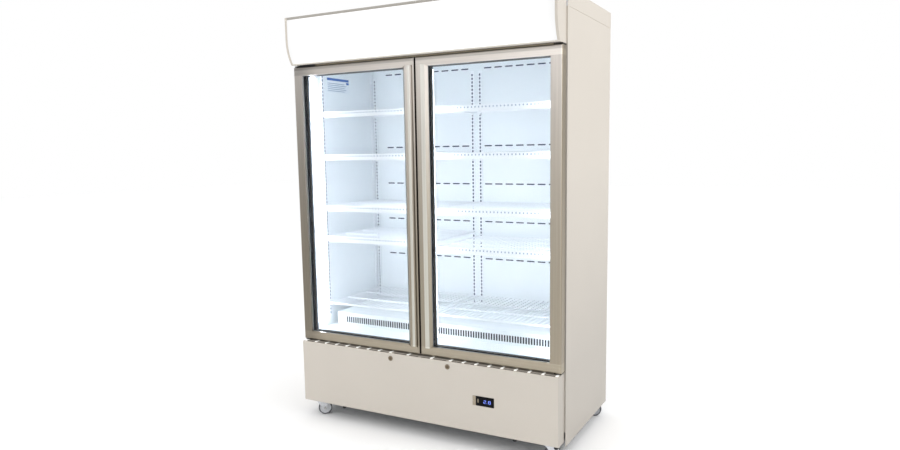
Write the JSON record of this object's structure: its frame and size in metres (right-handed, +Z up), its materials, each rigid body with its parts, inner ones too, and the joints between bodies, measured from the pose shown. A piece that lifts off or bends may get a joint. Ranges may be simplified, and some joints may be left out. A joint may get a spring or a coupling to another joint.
{
  "type": "glass door merchandiser",
  "caption": "Upright display refrigerator on casters with hinged glass doors, wire shelves, a curved illuminated header and a lower panel with locks and a controller.",
  "frame": {"origin": "on the floor under the middle of the overall box", "axes": "+X the user's right, -Y towards the user in front of the doors, +Z up"},
  "size_m": [1.25, 0.67, 1.794],
  "materials": {
    "cabinet_paint": "satin",
    "header_paint": "satin",
    "rear_sheet": "satin",
    "foam": "matte",
    "liner_paint": "satin",
    "surround_plastic": "satin",
    "shelf_coating": "satin",
    "fin_aluminium": "satin",
    "black_plastic": "matte",
    "key_plastic": "matte",
    "led_lens": "frosted",
    "sign_acrylic": "satin",
    "chassis_steel": "satin",
    "lock_chrome": "polished",
    "lock_brass": "satin",
    "compressor_enamel": "gloss",
    "black_steel": "satin",
    "fan_plastic": "matte",
    "bracket_steel": "satin",
    "caster_steel": "satin",
    "wheel_rubber": "satin",
    "door_aluminium": "anodised champagne",
    "door_glass": "clear",
    "spacer_black": "satin",
    "gasket_rubber": "matte"
  },
  "bodies": {
    "cabinet": {"left_side_panel": "cabinet_paint", "right_side_panel": "cabinet_paint", "top_cap": "cabinet_paint", "rear_panel": "rear_sheet", "insulation_foam": "foam", "inner_liner": "liner_paint", "rear_duct_panel": "liner_paint", "door_surround": "surround_plastic", "centre_mullion": "surround_plastic", "shelf_standards": "shelf_coating", "shelf_clips": "shelf_coating", "evaporator_cover": "liner_paint", "evaporator_coil": "fin_aluminium", "interior_led_bars": "led_lens", "header_housing": "header_paint", "header_sign": "sign_acrylic", "header_end_caps": "cabinet_paint", "header_led_tubes": "led_lens", "lower_front_panel": "cabinet_paint", "base_frame": "chassis_steel", "controller": "black_plastic", "lock_barrels": "lock_chrome", "compressor": "compressor_enamel", "condenser": "fin_aluminium", "condenser_fan_shroud": "black_steel", "power_inlet": "black_plastic", "hinge_brackets": "bracket_steel", "caster_plates": "caster_steel", "deck_shelf_left": "shelf_coating", "shelf_left_1": "shelf_coating", "shelf_left_2": "shelf_coating", "shelf_left_3": "shelf_coating", "shelf_left_4": "shelf_coating", "deck_shelf_right": "shelf_coating", "shelf_right_1": "shelf_coating", "shelf_right_2": "shelf_coating", "shelf_right_3": "shelf_coating", "shelf_right_4": "shelf_coating"},
    "door_left": {"door_frame_left": "door_aluminium", "door_glass_left": "door_glass", "glazing_spacer_left": "spacer_black", "door_gasket_left": "gasket_rubber"},
    "lock_left": {"lock_plug_left": "lock_brass"},
    "door_right": {"door_frame_right": "door_aluminium", "door_glass_right": "door_glass", "glazing_spacer_right": "spacer_black", "door_gasket_right": "gasket_rubber"},
    "lock_right": {"lock_plug_right": "lock_brass"},
    "button_up": {"controller_button_up": "key_plastic"},
    "button_down": {"controller_button_down": "key_plastic"},
    "condenser_fan_rotor": {"condenser_fan": "fan_plastic"},
    "blower_rotor": {"evaporator_blower": "black_plastic"},
    "caster_front_left": {"caster_fork_front_left": "caster_steel"},
    "wheel_front_left": {"caster_wheel_front_left": "wheel_rubber"},
    "caster_front_right": {"caster_fork_front_right": "caster_steel"},
    "wheel_front_right": {"caster_wheel_front_right": "wheel_rubber"},
    "caster_rear_left": {"caster_fork_rear_left": "caster_steel"},
    "wheel_rear_left": {"caster_wheel_rear_left": "wheel_rubber"},
    "caster_rear_right": {"caster_fork_rear_right": "caster_steel"},
    "wheel_rear_right": {"caster_wheel_rear_right": "wheel_rubber"}
  },
  "joints": [
    {"name": "left_door_hinge", "type": "hinge", "parent": "cabinet", "child": "door_left", "pos_m": [-0.612, -0.268, 0.361], "axis": [0, 0, -1], "range_deg": [0, 110], "stiffness_Nm_per_rad": 2.5, "springref_deg": -28.65},
    {"name": "right_door_hinge", "type": "hinge", "parent": "cabinet", "child": "door_right", "pos_m": [0.612, -0.268, 0.361], "axis": [0, 0, 1], "range_deg": [0, 110], "stiffness_Nm_per_rad": 2.5, "springref_deg": -28.65},
    {"name": "left_lock_turn", "type": "hinge", "parent": "cabinet", "child": "lock_left", "pos_m": [-0.139, -0.29, 0.331], "axis": [0, 1, 0], "range_deg": [0, 90]},
    {"name": "right_lock_turn", "type": "hinge", "parent": "cabinet", "child": "lock_right", "pos_m": [0.139, -0.29, 0.331], "axis": [0, 1, 0], "range_deg": [0, 90]},
    {"name": "button_up_press", "type": "slide", "parent": "cabinet", "child": "button_up", "axis": [0, 1, 0], "range_m": [0, 0.001], "stiffness_N_per_m": 600},
    {"name": "button_down_press", "type": "slide", "parent": "cabinet", "child": "button_down", "axis": [0, 1, 0], "range_m": [0, 0.001], "stiffness_N_per_m": 600},
    {"name": "condenser_fan_spin", "type": "hinge", "parent": "cabinet", "child": "condenser_fan_rotor", "pos_m": [0.22, -0.063, 0.195], "axis": [0, 1, 0], "continuous": true},
    {"name": "blower_spin", "type": "hinge", "parent": "cabinet", "child": "blower_rotor", "pos_m": [0, 0.215, 0.424], "axis": [1, 0, 0], "continuous": true},
    {"name": "front_left_swivel", "type": "hinge", "parent": "cabinet", "child": "caster_front_left", "pos_m": [-0.56, -0.274, 0.07], "axis": [0, 0, 1], "continuous": true},
    {"name": "front_left_roll", "type": "hinge", "parent": "caster_front_left", "child": "wheel_front_left", "pos_m": [-0.54057, -0.25827, 0.0315], "axis": [-0.6293, 0.7771, 0], "continuous": true},
    {"name": "front_right_swivel", "type": "hinge", "parent": "cabinet", "child": "caster_front_right", "pos_m": [0.56, -0.274, 0.07], "axis": [0, 0, 1], "continuous": true},
    {"name": "front_right_roll", "type": "hinge", "parent": "caster_front_right", "child": "wheel_front_right", "pos_m": [0.57768, -0.25632, 0.0315], "axis": [-0.7071, 0.7071, 0], "continuous": true},
    {"name": "rear_left_swivel", "type": "hinge", "parent": "cabinet", "child": "caster_rear_left", "pos_m": [-0.567, 0.262, 0.07], "axis": [0, 0, 1], "continuous": true},
    {"name": "rear_left_roll", "type": "hinge", "parent": "caster_rear_left", "child": "wheel_rear_left", "pos_m": [-0.59115, 0.26847, 0.0315], "axis": [-0.2588, -0.9659, 0], "continuous": true},
    {"name": "rear_right_swivel", "type": "hinge", "parent": "cabinet", "child": "caster_rear_right", "pos_m": [0.567, 0.262, 0.07], "axis": [0, 0, 1], "continuous": true},
    {"name": "rear_right_roll", "type": "hinge", "parent": "caster_rear_right", "child": "wheel_rear_right", "pos_m": [0.59176, 0.26548, 0.0315], "axis": [-0.1392, 0.9903, 0], "continuous": true}
  ]
}
